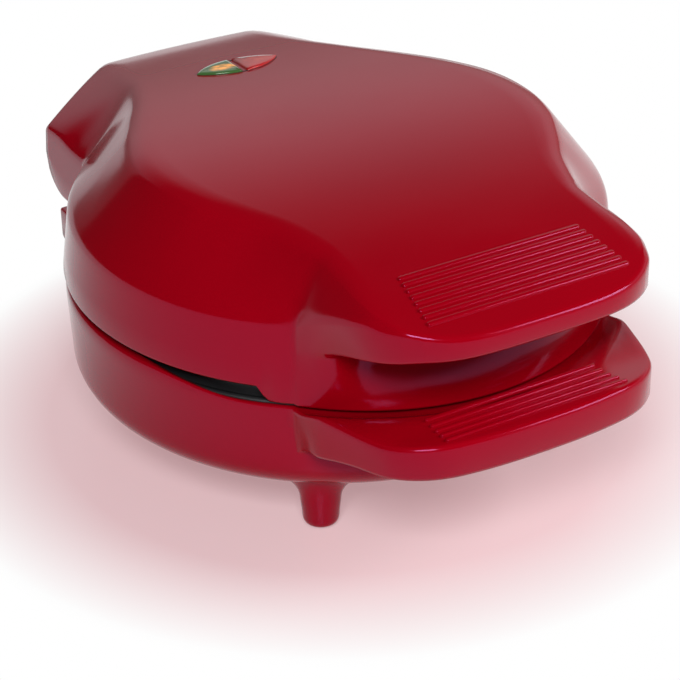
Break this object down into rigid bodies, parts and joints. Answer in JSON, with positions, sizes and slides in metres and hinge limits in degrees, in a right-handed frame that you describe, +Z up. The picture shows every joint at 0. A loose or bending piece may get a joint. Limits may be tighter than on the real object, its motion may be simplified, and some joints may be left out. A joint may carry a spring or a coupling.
{
  "type": "bubble waffle maker",
  "caption": "Round countertop bubble waffle maker: a red base on feet and a hinged red lid, each with a front grip, closing on cast plates with rows of round cells.",
  "frame": {"origin": "centre of the outer box in plan, on the surface that the foot pads stand on, lid closed", "axes": "+Z up, -Y towards the grips and the user, +Y towards the hinge, +X to the user's right"},
  "size_m": [0.217, 0.287, 0.1235],
  "materials": {
    "red_plastic": "gloss",
    "black_plastic": "fine matt",
    "coated_aluminium": "non-stick coat",
    "heater_steel": "satin",
    "shield_steel": "satin",
    "screw_steel": "satin",
    "pin_steel": "ground",
    "rubber": "matt",
    "green_lens": "gloss",
    "red_lens": "gloss",
    "lamp_bracket": "matt",
    "lamp_glass": "clear",
    "wire_sleeve": "matt",
    "thermostat": "satin",
    "fuse_case": "satin",
    "brass": "satin",
    "terminal_plastic": "matt"
  },
  "bodies": {
    "base": {"lower_shell": "red_plastic", "lower_frame": "black_plastic", "lower_plate": "coated_aluminium", "lower_element": "heater_steel", "lower_heat_shield": "shield_steel", "lower_plate_screws": "screw_steel", "base_frame_screws": "screw_steel", "earth_screw": "screw_steel", "left_hinge_pin": "pin_steel", "right_hinge_pin": "pin_steel", "foot_pads": "rubber", "cord_bush": "rubber", "base_wires": "wire_sleeve", "thermostat": "thermostat", "thermal_fuse": "fuse_case", "earth_tag": "brass", "terminal_block": "terminal_plastic"},
    "lid": {"lid_shell": "red_plastic", "upper_frame": "black_plastic", "upper_plate": "coated_aluminium", "upper_element": "heater_steel", "upper_heat_shield": "shield_steel", "upper_plate_screws": "screw_steel", "lid_frame_screws": "screw_steel", "green_lens": "green_lens", "red_lens": "red_lens", "lamp_holder": "lamp_bracket", "ready_lamp": "lamp_glass", "power_lamp": "lamp_glass", "lamp_screws": "screw_steel", "lid_wires": "wire_sleeve"}
  },
  "joints": [
    {"name": "lid_hinge", "type": "hinge", "parent": "base", "child": "lid", "pos_m": [0, 0.1015, 0.083], "axis": [-1, 0, 0], "range_deg": [0, 95]}
  ]
}
